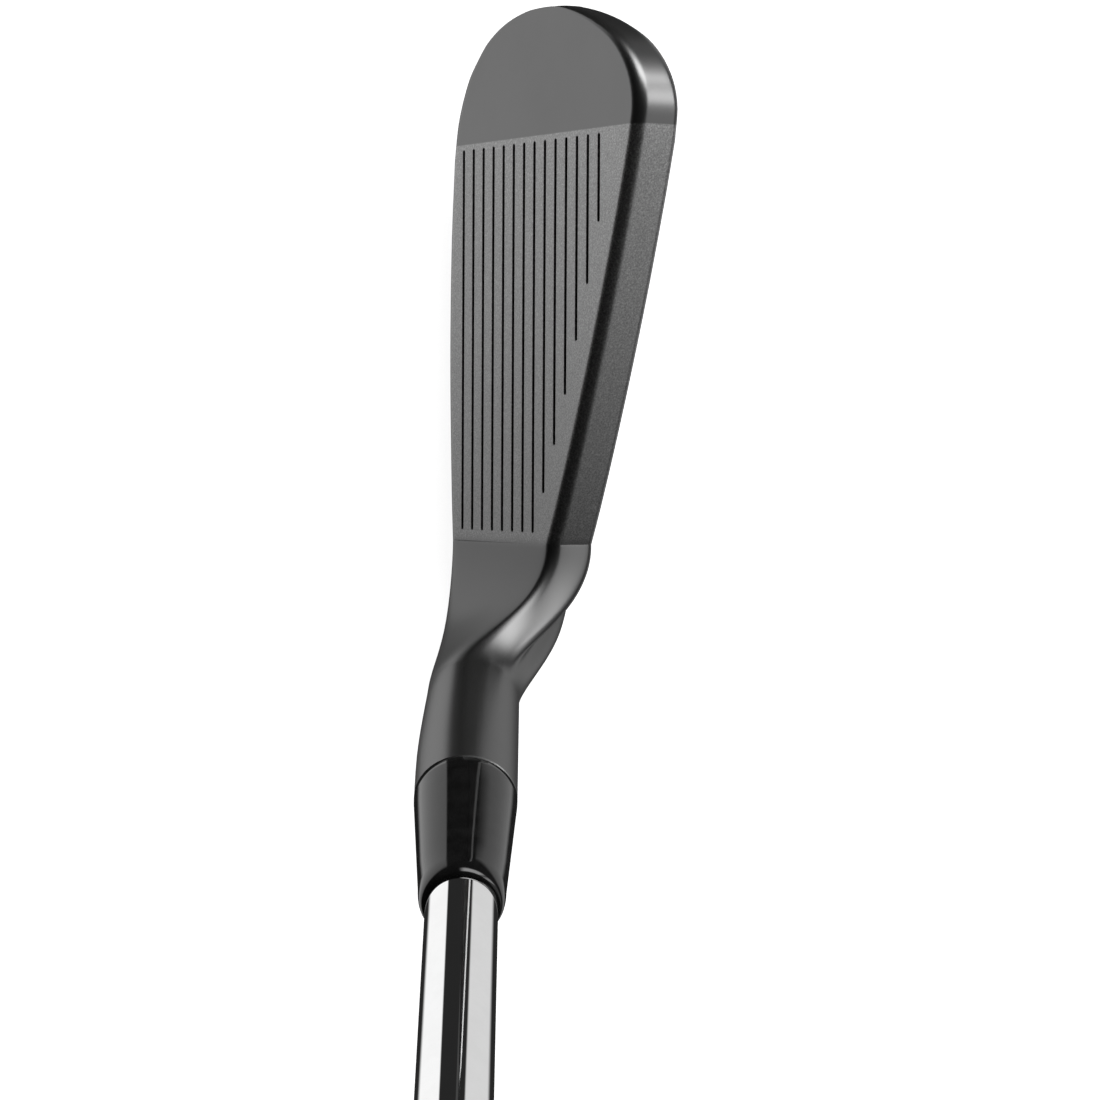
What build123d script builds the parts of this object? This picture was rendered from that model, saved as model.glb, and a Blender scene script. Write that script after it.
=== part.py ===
from build123d import *
import math
import os

os.makedirs("parts", exist_ok=True)

# Iron golf club, right-handed, standing at address. Millimetres.
# The ground is z = 0 and the face looks toward -Y, with the toe toward -X and the heel toward +X.
# The origin is where the shaft axis meets the ground. The shaft leans toward +X at the lie angle.

# ---- driving dimensions: the whole club ----
LOFT = 30.0
LIE = 62.5
CLUB_LENGTH = 939.8

# ---- head ----
FACE_OFFSET = 6.04          # the face plane meets the ground this far in front of the shaft axis
LEADING_RADIUS = 2.6
FACE_TOP_RADIUS = 1.8
BACK_TOP_RADIUS = 1.4
TOPLINE = 7.2
BOUNCE = 7.5
SOLE_WIDTH = 19.5
SOLE_RADIUS = 75.0
TRAILING_RADIUS = 3.2
MUSCLE_LEAN = 8.0           # the muscle's rear face leans back from upright
BACK_FLAT_SHARE = 0.38      # the share of the back, from the top, that is flat
TOE_START = -58.0
TOE_REACH = 20.3
TOE_END_ANGLE = 80.0
HOSEL_RADIUS = 6.93
HOSEL_TOP = 67.4
DRILL_SPARE = 3.0
NECK_END = 43.0             # the neck has become a round hosel here, along the shaft axis
NECK_FRONT_TAPER = 0.84     # the hosel's front is this much slimmer at the neck
NECK_FRONT_END = 60.0
NECK_SECTIONS = 14
NECK_MIX = 0.812
NECK_MIX_REAR = 0.217
NECK_MIX_TOP = 0.3
NECK_WAVE = 0.02
NECK_SWELL = 0.034
NECK_HEIGHT_MIX = 0.672
CROTCH_RADIUS = 17.8
HEEL_RADIUS = 23.6

# Heights up the face, from the ground: where the face's flat ends above and below, heel to toe.
FACE_TOP_POINTS = [(6, 28.4), (-4, 33.8), (-18, 40.1), (-35, 46.9), (-50, 52.2), (-58, 54.7)]
FACE_LOW_POINTS = [(8, 6.0), (0, 5.7), (-10, 5.1), (-28, 4.55), (-45, 4.8), (-58, 5.7)]
# The same two edges round the toe, by angle from TOE_START to the toe's tip.
TOE_TOP_POINTS = [(0, 54.7), (14, 55.6), (27, 54.3), (42, 50.3), (56, 44.3), (68, 38.8), (80, 33.5)]
TOE_DEPTH_POINTS = [(0, 7.2), (15, 6.95), (35, 6.4), (50, 5.8), (62, 5.2), (74, 4.4), (86, 3.7)]
TOE_SOLE_POINTS = [(0, 19.5), (30, 17.8), (46, 15.8), (60, 13.0), (72, 9.6), (86, 6.0)]
TOE_LOW_POINTS = [(0, 5.7), (16, 6.9), (34, 9.9), (44, 12.6), (55, 15.9), (69, 21.8), (80, 28.0)]

# ---- striking face ----
FACE_THICKNESS = 2.4
FACE_MARGIN = 1.2
FACE_HEEL = 1.5
SCORE_COUNT = 14
SCORE_LOWEST = 8.5
SCORE_PITCH = 2.974
SCORE_WIDTH = 0.7
SCORE_DEPTH = 0.45
SCORE_TOE = -59.3
SCORE_HEEL = -3.6
SCORE_TOP_GAP = 4.0

# ---- inside the head ----
CAVITY_TOE = -66.0
CAVITY_HEEL = -8.0
CAVITY_RIM = 5.0
WEIGHT_TOE = -64.0
WEIGHT_LENGTH = 15.0
WEIGHT_HEIGHT = 9.0
BADGE_THICKNESS = 1.0
BADGE_GLUE = 0.2
PORT_X = -43.0
PORT_Z = 10.5
PORT_SCREW_RADIUS = 2.0
PORT_HEAD_RADIUS = 3.3
PORT_HEAD_HEIGHT = 1.4
PORT_HEAD_FACE = 15.6
PORT_SCREW_LENGTH = 7.0
PORT_WASHER = 0.4
PORT_SOCKET = 2.0

# ---- shaft ----
BORE_DEPTH = 28.0
BORE_RADIUS = 4.85
TIP_GAP = 1.0
SHAFT_AT_FERRULE = 4.70
SHAFT_TIP_SLOPE = 0.0015
SHAFT_BUTT_RADIUS = 7.62
SHAFT_WALL = 0.47
FIRST_STEP = 225.0
STEP_PITCH = 40.0
STEP_COUNT = 12
STEP_LENGTH = 1.5
PLUG_LENGTH = 14.0
FERRULE_LENGTH = 25.0
FERRULE_END_RADIUS = 5.72
FERRULE_NOSE = 3.6
BAND_START = 631.0
BAND_LENGTH = 27.0
BAND_THICKNESS = 0.15

# ---- grip ----
GRIP_LENGTH = 267.0
GRIP_MOUTH_RADIUS = 8.7
GRIP_UPPER_RADIUS = 11.7
GRIP_UPPER_FROM_BUTT = 50.0
GRIP_CAP_RADIUS = 13.5
CAP_THICKNESS = 3.5
CAP_LIP = 2.0
VENT_RADIUS = 1.6
TAPE_THICKNESS = 0.25

# ---- worked-out values ----
loft_angle = math.radians(LOFT)
lie = math.radians(LIE)
up_face = (math.sin(loft_angle), math.cos(loft_angle))
into_head = (math.cos(loft_angle), -math.sin(loft_angle))
shaft_axis = Axis((0, 0, 0), (math.cos(lie), 0, math.sin(lie)))
face_plane = Plane(origin=(0, -FACE_OFFSET, 0), x_dir=(1, 0, 0),
                   z_dir=(0, -math.cos(loft_angle), math.sin(loft_angle)))
bore_bottom = HOSEL_TOP - BORE_DEPTH
shaft_tip = bore_bottom + TIP_GAP
shaft_end = CLUB_LENGTH - CAP_THICKNESS
grip_mouth = CLUB_LENGTH - GRIP_LENGTH


def smooth(points, x):
    """The height at x on a smooth curve through the points, as a cubic over each span."""
    pts = sorted(points)
    slopes = []
    for i in range(len(pts)):
        before = pts[max(i - 1, 0)]
        after = pts[min(i + 1, len(pts) - 1)]
        slopes.append((after[1] - before[1]) / (after[0] - before[0]))
    last = len(pts) - 2
    i = 0
    while i < last and x > pts[i + 1][0]:
        i += 1
    (x0, y0), (x1, y1) = pts[i], pts[i + 1]
    span = x1 - x0
    t = (x - x0) / span
    return ((2 * t**3 - 3 * t**2 + 1) * y0 + (t**3 - 2 * t**2 + t) * span * slopes[i]
            + (3 * t**2 - 2 * t**3) * y1 + (t**3 - t**2) * span * slopes[i + 1])


def ease(t):
    return t * t * (3 - 2 * t)


def face_point(height, depth=0.0):
    """(y, z) of a point so far up the face and so far behind it."""
    y = -FACE_OFFSET + height * up_face[0] + depth * into_head[0]
    z = height * up_face[1] + depth * into_head[1]
    return y, z


def arc_points(centre, radius, start, end, count):
    angles = [start + (end - start) * k / count for k in range(count + 1)]
    return [(centre[0] + radius * math.cos(a), centre[1] + radius * math.sin(a)) for a in angles]


def straight_points(start, end, count):
    return [(start[0] + (end[0] - start[0]) * k / count, start[1] + (end[1] - start[1]) * k / count)
            for k in range(count + 1)]


def bow_points(start, start_pull, end, end_pull, count):
    points = []
    for k in range(count + 1):
        t = k / count
        a, b, c, d = 2 * t**3 - 3 * t**2 + 1, t**3 - 2 * t**2 + t, 3 * t**2 - 2 * t**3, t**3 - t**2
        points.append((a * start[0] + b * start_pull[0] + c * end[0] + d * end_pull[0],
                       a * start[1] + b * start_pull[1] + c * end[1] + d * end_pull[1]))
    return points


def blade_edges(x):
    """Heights of the face's low and top edges, the sole's width and the topline's, at a station."""
    if x >= TOE_START:
        low = smooth(FACE_LOW_POINTS, x)
        top = smooth(FACE_TOP_POINTS, x)
        return low, top, SOLE_WIDTH - 0.03 * max(0.0, x + 30), TOPLINE
    angle = math.degrees(math.asin((TOE_START - x) / TOE_REACH))
    return (smooth(TOE_LOW_POINTS, angle), smooth(TOE_TOP_POINTS, angle),
            smooth(TOE_SOLE_POINTS, angle), smooth(TOE_DEPTH_POINTS, angle))


def blade_section(x):
    """Eight runs of (y, z) points round the blade: leading edge, sole, trailing edge, muscle,
    back top corner, topline, face top corner and face."""
    low, top, sole, depth = blade_edges(x)
    bounce = math.radians(BOUNCE)
    lean = math.radians(MUSCLE_LEAN)
    lead_tangent = low + (1 - math.cos(loft_angle)) / math.sin(loft_angle) * LEADING_RADIUS
    lead_centre = face_point(lead_tangent, LEADING_RADIUS)
    lead = arc_points(lead_centre, LEADING_RADIUS, math.pi - loft_angle, 1.5 * math.pi - bounce, 4)
    sole_centre = (lead[-1][0] + SOLE_RADIUS * math.sin(bounce),
                   lead[-1][1] + SOLE_RADIUS * math.cos(bounce))
    sole_rear = lead[-1][0] - LEADING_RADIUS + sole - 1.2 * TRAILING_RADIUS
    rear_angle = math.asin((sole_rear - sole_centre[0]) / SOLE_RADIUS)
    bottom = arc_points(sole_centre, SOLE_RADIUS, 1.5 * math.pi - bounce,
                        1.5 * math.pi + rear_angle, 4)
    trail_centre = (bottom[-1][0] - TRAILING_RADIUS * math.sin(rear_angle),
                    bottom[-1][1] + TRAILING_RADIUS * math.cos(rear_angle))
    trail = arc_points(trail_centre, TRAILING_RADIUS, rear_angle - math.pi / 2, -lean, 4)
    crest = top + FACE_TOP_RADIUS
    back_centre = face_point(crest - BACK_TOP_RADIUS, depth - BACK_TOP_RADIUS)
    back_corner = arc_points(back_centre, BACK_TOP_RADIUS, -loft_angle, math.pi / 2 - loft_angle, 4)
    flat_end = face_point(crest - BACK_FLAT_SHARE * (crest - low), depth)
    reach = math.dist(trail[-1], flat_end)
    muscle = bow_points(trail[-1], (1.2 * reach * math.sin(lean), 1.2 * reach * math.cos(lean)),
                        flat_end, (0.9 * reach * up_face[0], 0.9 * reach * up_face[1]), 8)
    muscle = muscle + [back_corner[0]]
    face_centre = face_point(top, FACE_TOP_RADIUS)
    face_corner = arc_points(face_centre, FACE_TOP_RADIUS, math.pi / 2 - loft_angle, math.pi - loft_angle, 4)
    topline = straight_points(back_corner[-1], face_corner[0], 4)
    face = straight_points(face_corner[-1], lead[0], 4)
    return [lead, bottom, trail, muscle, back_corner, topline, face_corner, face]


# Where the eight runs lie round the hosel, by angle from its rear side, counted toward its top.
HOSEL_SPLITS = [150, 240, 300, 350, 398, 413, 438, 456, 510]


def hosel_section(s, counts):
    """The same eight runs round the hosel, as (y, height toward the toe side)."""
    taper = NECK_FRONT_TAPER * (max(0.0, NECK_FRONT_END - s) / (NECK_FRONT_END - 44.0)) ** 1.5
    runs = []
    for start, end, count in zip(HOSEL_SPLITS, HOSEL_SPLITS[1:], counts):
        run = arc_points((0, 0), HOSEL_RADIUS, math.radians(start), math.radians(end), count)
        runs.append([(y * (1 - taper / HOSEL_RADIUS) if y < 0 else y, z) for y, z in run])
    return runs


def place_hosel(runs, s):
    cx, cz = s * math.cos(lie), s * math.sin(lie)
    return [[(cx - h * math.sin(lie), y, cz + h * math.cos(lie)) for y, h in run] for run in runs]


# The neck's sections fan about a pivot above the crotch.
pivot_reach = HOSEL_RADIUS + CROTCH_RADIUS
pivot_x = NECK_END * math.cos(lie) - pivot_reach * math.sin(lie)
pivot_z = NECK_END * math.sin(lie) + pivot_reach * math.cos(lie)
heel_corner_x = HOSEL_RADIUS / math.sin(lie)
heel_start_x = heel_corner_x - HEEL_RADIUS * math.tan(lie / 2)


def heel_reach(phi):
    """Distance from the pivot to the heel's outline: the ground, the heel's arc, the hosel."""
    ux, uz = math.cos(phi), math.sin(phi)
    to_ground = -pivot_z / uz
    if pivot_x + to_ground * ux <= heel_start_x:
        return to_ground
    wx, wz = pivot_x - heel_start_x, pivot_z - HEEL_RADIUS
    along = wx * ux + wz * uz
    to_arc = -along + math.sqrt(max(0.0, along**2 - wx**2 - wz**2 + HEEL_RADIUS**2))
    angle = math.atan2(wz + to_arc * uz, wx + to_arc * ux)
    if angle <= lie - math.pi / 2:
        return to_arc
    return (pivot_reach + HOSEL_RADIUS) / math.cos(phi - lie + math.pi / 2)


def neck_section(t):
    """Section of the neck, from the blade (t = 0) to the hosel (t = 1)."""
    blade = blade_section(pivot_x)
    counts = [len(run) - 1 for run in blade]
    hosel = hosel_section(NECK_END, counts)
    heights = [z for run in blade for y, z in run]
    top, bottom = max(heights), min(heights)
    phi = -math.pi / 2 + lie * t
    inner = pivot_z - top + (CROTCH_RADIUS - pivot_z + top) * ease(t)
    outer = heel_reach(phi)
    mix_height = ease(t**NECK_HEIGHT_MIX)
    runs = []
    for blade_run, hosel_run in zip(blade, hosel):
        run = []
        for (by, bz), (hy, hz) in zip(blade_run, hosel_run):
            share = (1 - mix_height) * (top - bz) / (top - bottom)
            share += mix_height * (HOSEL_RADIUS - hz) / (2 * HOSEL_RADIUS)
            rear = (1 + hy / HOSEL_RADIUS) / 2
            top_front = (1 - share) ** 2 * (1 - rear) ** 2
            mix = ease(t ** (NECK_MIX + NECK_MIX_REAR * rear + NECK_MIX_TOP * top_front))
            mix -= NECK_WAVE * rear * math.sin(2 * math.pi * t)
            mix -= NECK_SWELL * rear * math.sin(math.pi * t) ** 2
            radius = inner + share * (outer - inner)
            run.append((pivot_x + radius * math.cos(phi), (1 - mix) * by + mix * hy,
                        pivot_z + radius * math.sin(phi)))
        runs.append(run)
    return runs


def section_wire(runs):
    return Wire([Edge.make_spline([Vector(*p) for p in run]) for run in runs])


def head_outside():
    stations = [TOE_START - TOE_REACH * math.sin(math.radians(a))
                for a in (TOE_END_ANGLE, 75, 68, 60, 50, 40, 30, 20, 10)]
    stations += [TOE_START, -48.0, -36.0, -24.0, -13.0]
    sections = []
    for x in stations:
        sections.append([[(x, y, z) for y, z in run] for run in blade_section(x)])
    for k in range(NECK_SECTIONS + 1):
        sections.append(neck_section(k / NECK_SECTIONS))
    counts = [len(run) - 1 for run in sections[0]]
    for s in (47.0, 52.0, 57.0, 62.0, HOSEL_TOP):
        sections.append(place_hosel(hosel_section(s, counts), s))
    return Solid(loft([Face(section_wire(runs)) for runs in sections], ruled=True).wrapped)


def on_face(points, depth, thickness, rounding=0.0):
    """A plate with this outline in face coordinates, from one depth behind the face to another."""
    outline = Polyline([(x, v) for x, v in points] + [points[0]])
    sketch = make_face(outline)
    if rounding > 0:
        sketch = fillet(sketch.vertices(), rounding)
    plane = face_plane.offset(-depth)
    return extrude(plane * sketch, amount=-thickness)


def face_plate(depth, thickness, margin):
    """A plate of the face's own outline, drawn in by a margin, square at the heel."""
    stations = [FACE_HEEL - margin, -15.0, -30.0, -45.0, TOE_START]
    top = [(x, blade_edges(x)[1] - margin) for x in stations]
    low = [(x, blade_edges(x)[0] + 0.7 + margin) for x in stations]
    toe = []
    middle = 30.0
    for angle in (12, 26, 40, 55, 70):
        x = TOE_START - TOE_REACH * math.sin(math.radians(angle))
        for edge, side in ((blade_edges(x)[1], 1), (blade_edges(x)[0] + 0.7, -1)):
            toe.append((x, edge, side))
    upper = [shrink(x, v, margin, middle) for x, v, side in toe if side == 1]
    lower = [shrink(x, v, margin, middle) for x, v, side in toe if side == -1]
    tip = [(TOE_START - TOE_REACH + 0.4 + margin, middle)]
    round_part = upper + tip + lower[::-1]
    curve = Spline(top + round_part + low[::-1])
    closing = Line(low[0], top[0])
    return extrude(face_plane.offset(-depth) * make_face([curve, closing]), amount=-thickness)


def shrink(x, v, margin, middle):
    """Draw a point of the toe's outline in toward the middle of the toe's round."""
    dx, dv = TOE_START - x, middle - v
    length = math.hypot(dx, dv)
    return x + margin * dx / length, v + margin * dv / length


def score_line(index):
    v = SCORE_LOWEST + SCORE_PITCH * index
    heel = SCORE_HEEL
    while blade_edges(heel)[1] - v < SCORE_TOP_GAP:
        heel -= 0.1
    length = heel - SCORE_TOE
    slot = Pos((heel + SCORE_TOE) / 2, v) * SlotOverall(length, SCORE_WIDTH)
    return extrude(face_plane.offset(0.5) * slot, amount=-(SCORE_DEPTH + 0.5))


def cavity(front):
    """The hollow behind the face, from a depth, as one closed solid: shallow above, deep in
    the muscle."""
    sections = []
    for x in (CAVITY_TOE, TOE_START, -45.0, -28.0, CAVITY_HEEL):
        low, top = blade_edges(x)[:2]
        height = top - low
        rows = [(top - CAVITY_RIM, front), (top - CAVITY_RIM, 4.4),
                (low + 0.55 * height, 4.4), (low + 0.22 * height + 1.5, 10.5),
                (low + 4.6, 11.0), (low + 4.6, front)]
        points = [(x,) + face_point(v, depth) for v, depth in rows]
        sections.append(Face(Wire.make_polygon([Vector(*p) for p in points], close=True)))
    return Solid(loft(sections, ruled=True).wrapped)


def along_shaft(profile):
    """A solid of revolution about the shaft axis from (distance from the ground, radius)."""
    outline = Wire.make_polygon([frame_point(r, s) for s, r in profile], close=True)
    return Solid(revolve(Face(outline), axis=shaft_axis).wrapped)


def frame_point(radius, s):
    return Vector(s * math.cos(lie) + radius * math.sin(lie), 0,
                  s * math.sin(lie) - radius * math.cos(lie))


def shaft_radii(inset=0.0):
    """The shaft's stepped outline as (s, radius), drawn in by a wall."""
    tip_radius = SHAFT_AT_FERRULE - SHAFT_TIP_SLOPE * (HOSEL_TOP + FERRULE_LENGTH - shaft_tip)
    step_radius = SHAFT_AT_FERRULE + SHAFT_TIP_SLOPE * (FIRST_STEP - HOSEL_TOP - FERRULE_LENGTH)
    rise = (SHAFT_BUTT_RADIUS - step_radius) / STEP_COUNT
    rows = [(shaft_tip, tip_radius - inset)]
    for k in range(STEP_COUNT):
        start = FIRST_STEP + k * STEP_PITCH
        rows.append((start, step_radius + k * rise - inset))
        rows.append((start + STEP_LENGTH, step_radius + (k + 1) * rise - inset))
    rows.append((shaft_end, SHAFT_BUTT_RADIUS - inset))
    return rows


def on_shaft(start, length, radius):
    """A cylinder on the shaft's axis."""
    base = Plane(origin=frame_point(0, start), x_dir=(0, 1, 0), z_dir=(math.cos(lie), 0, math.sin(lie)))
    return Solid(extrude(base * Circle(radius), amount=length).wrapped)


def closed_to_axis(rows):
    return [(rows[0][0], 0)] + rows + [(rows[-1][0], 0)]


def single(shape):
    """The one solid in a result, as a plain solid."""
    solids = shape.solids()
    assert len(solids) == 1, len(solids)
    return solids[0]


# ---- shaft and its parts ----
shaft_outside = along_shaft(closed_to_axis(shaft_radii()))
shaft_inside = along_shaft(closed_to_axis(shaft_radii(SHAFT_WALL)))
shaft = single(shaft_outside - shaft_inside)

plug_slab = on_shaft(shaft_tip, PLUG_LENGTH, HOSEL_RADIUS)
tip_plug = single(shaft_inside & plug_slab)

bore = on_shaft(bore_bottom, BORE_DEPTH, BORE_RADIUS)
bore_drill = on_shaft(bore_bottom, BORE_DEPTH + DRILL_SPARE, BORE_RADIUS)
hosel_epoxy = single(bore - shaft_outside)

ferrule_top = HOSEL_TOP + FERRULE_LENGTH
nose = [(ferrule_top - FERRULE_NOSE, FERRULE_END_RADIUS), (ferrule_top - 2.0, FERRULE_END_RADIUS - 0.18),
        (ferrule_top - 0.9, FERRULE_END_RADIUS - 0.48), (ferrule_top - 0.25, SHAFT_AT_FERRULE + 0.3),
        (ferrule_top, SHAFT_AT_FERRULE - 0.5)]
ferrule_cone = along_shaft(closed_to_axis([(HOSEL_TOP, HOSEL_RADIUS)] + nose))
ferrule = single(ferrule_cone - shaft_outside)

band_step = int((BAND_START - FIRST_STEP) // STEP_PITCH)
band_radius = shaft_radii()[2 * band_step + 2][1]
band_blank = along_shaft(closed_to_axis([(BAND_START, band_radius + BAND_THICKNESS),
                                         (BAND_START + BAND_LENGTH, band_radius + BAND_THICKNESS)]))
shaft_band = single(band_blank - shaft_outside)

# ---- grip ----
tape_radius = SHAFT_BUTT_RADIUS + TAPE_THICKNESS
tape_blank = along_shaft(closed_to_axis([(grip_mouth + CAP_LIP, tape_radius), (shaft_end, tape_radius)]))
grip_tape = single(tape_blank - shaft_outside)
mouth_blank = along_shaft(closed_to_axis([(grip_mouth, SHAFT_BUTT_RADIUS),
                                          (grip_mouth + CAP_LIP, SHAFT_BUTT_RADIUS)]))
grip_outline = [(grip_mouth, GRIP_MOUTH_RADIUS - 0.4), (grip_mouth + 1.2, GRIP_MOUTH_RADIUS),
                (CLUB_LENGTH - GRIP_UPPER_FROM_BUTT, GRIP_UPPER_RADIUS),
                (CLUB_LENGTH - 18.0, GRIP_UPPER_RADIUS + 0.9),
                (CLUB_LENGTH - 9.0, GRIP_CAP_RADIUS - 0.2), (shaft_end, GRIP_CAP_RADIUS)]
grip_blank = along_shaft(closed_to_axis(grip_outline))
grip_sleeve = single(grip_blank - tape_blank - mouth_blank)
cap_blank = along_shaft(closed_to_axis([(shaft_end, GRIP_CAP_RADIUS),
                                        (CLUB_LENGTH - 1.4, GRIP_CAP_RADIUS - 0.15),
                                        (CLUB_LENGTH - 0.4, GRIP_CAP_RADIUS - 0.9),
                                        (CLUB_LENGTH, GRIP_CAP_RADIUS - 2.2)]))
vent = on_shaft(shaft_end - 1, CAP_THICKNESS + 2, VENT_RADIUS)
grip_cap = single(cap_blank - vent)

# ---- head ----
outside = head_outside()
plate_blank = face_plate(-2.0, FACE_THICKNESS + 2.0, FACE_MARGIN)
plate = outside & plate_blank
hollow = cavity(FACE_THICKNESS)
hollow_opening = cavity(FACE_THICKNESS / 2)
scores = [score_line(k) for k in range(SCORE_COUNT)]
face_insert = single(plate - Compound(scores))


def badge_plate(depth, thickness, inset):
    corners = []
    for x, side in ((-18.0, 1), (-18.0, -1), (-59.0, -1), (-59.0, 1)):
        low, top = blade_edges(x)[:2]
        crest = top + FACE_TOP_RADIUS
        v = crest - 4.5 if side == 1 else crest - BACK_FLAT_SHARE * (crest - low) + 1.2
        corners.append((x - inset if x > -30 else x + inset, v - side * inset))
    return single(on_face(corners, depth, thickness, 2.0))


badge_floor = TOPLINE - BADGE_THICKNESS
badge_glue_floor = badge_floor - BADGE_GLUE
badge_pocket = badge_plate(badge_glue_floor, 3.0, 0.0)
badge_adhesive = badge_plate(badge_glue_floor, BADGE_GLUE, 0.0)
back_badge = badge_plate(badge_floor, BADGE_THICKNESS, 0.0)


def rear_cylinder(radius, start_y, length):
    """A cylinder on the filling port's axis, from start_y toward the rear."""
    base = Plane(origin=(PORT_X, start_y, PORT_Z), x_dir=(1, 0, 0), z_dir=(0, 1, 0))
    return Solid(extrude(base * Circle(radius), amount=length).wrapped)


head_floor = PORT_HEAD_FACE - PORT_HEAD_HEIGHT
screw_head = rear_cylinder(PORT_HEAD_RADIUS, head_floor, PORT_HEAD_HEIGHT)
screw_shank = rear_cylinder(PORT_SCREW_RADIUS, head_floor - PORT_SCREW_LENGTH, PORT_SCREW_LENGTH)
socket_base = Plane(origin=(PORT_X, PORT_HEAD_FACE - 1.0, PORT_Z), x_dir=(1, 0, 0), z_dir=(0, 1, 0))
socket = extrude(socket_base * RegularPolygon(PORT_SOCKET / math.sqrt(3), 6), amount=3.0)
fill_port_screw = single(screw_head + screw_shank - socket)
washer_floor = head_floor - PORT_WASHER
port_gasket = single(rear_cylinder(PORT_HEAD_RADIUS, washer_floor, PORT_WASHER) - screw_shank)
port_recess = rear_cylinder(PORT_HEAD_RADIUS, washer_floor, 12.0)

weight_blank = Pos(WEIGHT_TOE + WEIGHT_LENGTH / 2, 8.0, WEIGHT_HEIGHT / 2) * Box(
    WEIGHT_LENGTH, 40.0, WEIGHT_HEIGHT)
toe_weight = single(hollow & weight_blank)
foam_core = single(hollow - weight_blank - screw_shank)

head_body = outside - plate_blank - hollow_opening
head_body = single(head_body - bore_drill - badge_pocket - port_recess - screw_shank)

nodes = {
    "head_body": head_body, "face_insert": face_insert, "toe_weight": toe_weight,
    "foam_core": foam_core, "fill_port_screw": fill_port_screw, "port_gasket": port_gasket,
    "back_badge": back_badge, "badge_adhesive": badge_adhesive, "ferrule": ferrule,
    "shaft": shaft, "hosel_epoxy": hosel_epoxy, "tip_plug": tip_plug,
    "shaft_band": shaft_band, "grip_tape": grip_tape, "grip_sleeve": grip_sleeve,
    "grip_cap": grip_cap,
}
for name, solid in nodes.items():
    export_step(solid, f"parts/{name}.step")
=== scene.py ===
import math
import bmesh
import bpy
from mathutils import Matrix, Vector


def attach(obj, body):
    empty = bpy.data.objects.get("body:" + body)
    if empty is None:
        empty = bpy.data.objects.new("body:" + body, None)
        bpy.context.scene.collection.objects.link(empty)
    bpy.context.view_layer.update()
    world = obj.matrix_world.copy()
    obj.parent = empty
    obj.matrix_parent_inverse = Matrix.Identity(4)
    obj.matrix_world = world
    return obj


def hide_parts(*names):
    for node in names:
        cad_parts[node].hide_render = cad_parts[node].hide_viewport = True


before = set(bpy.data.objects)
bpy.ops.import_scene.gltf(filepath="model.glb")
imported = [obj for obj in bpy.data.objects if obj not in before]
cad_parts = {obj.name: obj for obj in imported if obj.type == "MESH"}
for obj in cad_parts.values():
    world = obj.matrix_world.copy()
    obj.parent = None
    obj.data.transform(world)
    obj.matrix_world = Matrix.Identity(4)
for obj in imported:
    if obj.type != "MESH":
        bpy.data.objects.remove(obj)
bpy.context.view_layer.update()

# The frame's axes: +Z up, -Y the way the face looks, +X from toe to heel. Lengths below are in
# millimetres, as in the CAD part, and become metres when a mesh is made.
MM = 0.001

# ---- head: the CAD part's driving dimensions, with the toe's last ring a little sooner and a
# dome beyond it, and the numbers of rings in this mesh ----
LOFT = math.radians(30.0)
LIE = math.radians(62.5)
FACE_OFFSET = 6.04
LEADING_RADIUS = 2.6
FACE_TOP_RADIUS = 1.8
BACK_TOP_RADIUS = 1.4
TOPLINE = 7.2
BOUNCE = math.radians(7.5)
SOLE_WIDTH = 19.5
SOLE_TAPER = 0.03
SOLE_TAPER_START = -30.0
SOLE_RADIUS = 75.0
TRAILING_RADIUS = 3.2
MUSCLE_LEAN = math.radians(8.0)
MUSCLE_PULL_LOW = 1.2
MUSCLE_PULL_HIGH = 0.9
BACK_FLAT_SHARE = 0.38
TOE_START = -58.0
TOE_REACH = 20.3
TOE_END_ANGLE = 77.0
TOE_DOME = 0.2
DOME_RINGS = 6
TOE_RINGS = 26
BODY_RINGS = 24
HOSEL_RINGS = 8
HOSEL_RADIUS = 6.93
HOSEL_TOP = 67.4
HOSEL_CHAMFER = 0.22
NECK_END = 43.0
NECK_RINGS = 48
NECK_EASING = 16
NECK_FRONT_TAPER = 0.84
NECK_FRONT_START = 44.0
NECK_FRONT_END = 60.0
NECK_MIX = 0.812
NECK_MIX_REAR = 0.217
NECK_MIX_TOP = 0.3
NECK_WAVE = 0.02
NECK_SWELL = 0.034
NECK_HEIGHT_MIX = 0.672
CROTCH_RADIUS = 17.8
HEEL_RADIUS = 23.6
FACE_TOP_POINTS = [(6, 28.4), (-4, 33.8), (-18, 40.1), (-35, 46.9), (-50, 52.2), (-58, 54.7)]
FACE_LOW_POINTS = [(8, 6.0), (0, 5.7), (-10, 5.1), (-28, 4.55), (-45, 4.8), (-58, 5.7)]
TOE_TOP_POINTS = [(0, 54.7), (14, 55.6), (27, 54.3), (42, 50.3), (56, 44.3), (68, 38.8), (80, 33.5)]
TOE_DEPTH_POINTS = [(0, 7.2), (15, 6.95), (35, 6.4), (50, 5.8), (62, 5.2), (74, 4.4), (86, 3.7)]
TOE_SOLE_POINTS = [(0, 19.5), (30, 17.8), (46, 15.8), (60, 13.0), (72, 9.6), (86, 6.0)]
TOE_LOW_POINTS = [(0, 5.7), (16, 6.9), (34, 9.9), (44, 12.6), (55, 15.9), (69, 21.8), (80, 28.0)]

# ---- striking face ----
FACE_THICKNESS = 2.4
SCORE_COUNT = 14
SCORE_LOWEST = 8.5
SCORE_PITCH = 2.974
SCORE_WIDTH = 0.7
SCORE_LIP = 0.09
SCORE_DEPTH = 0.45
SCORE_TOE = -59.3
SCORE_HEEL = -3.6
SCORE_TOP_GAP = 4.0
BLAST_TOE = -60.0
BLAST_HEEL = -2.4

# ---- filling port low in the back ----
PORT_X = -43.0
PORT_Z = 10.5
PORT_RADIUS = 3.3
PORT_FLOOR = 13.8
PORT_PLAY = 0.02

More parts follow.
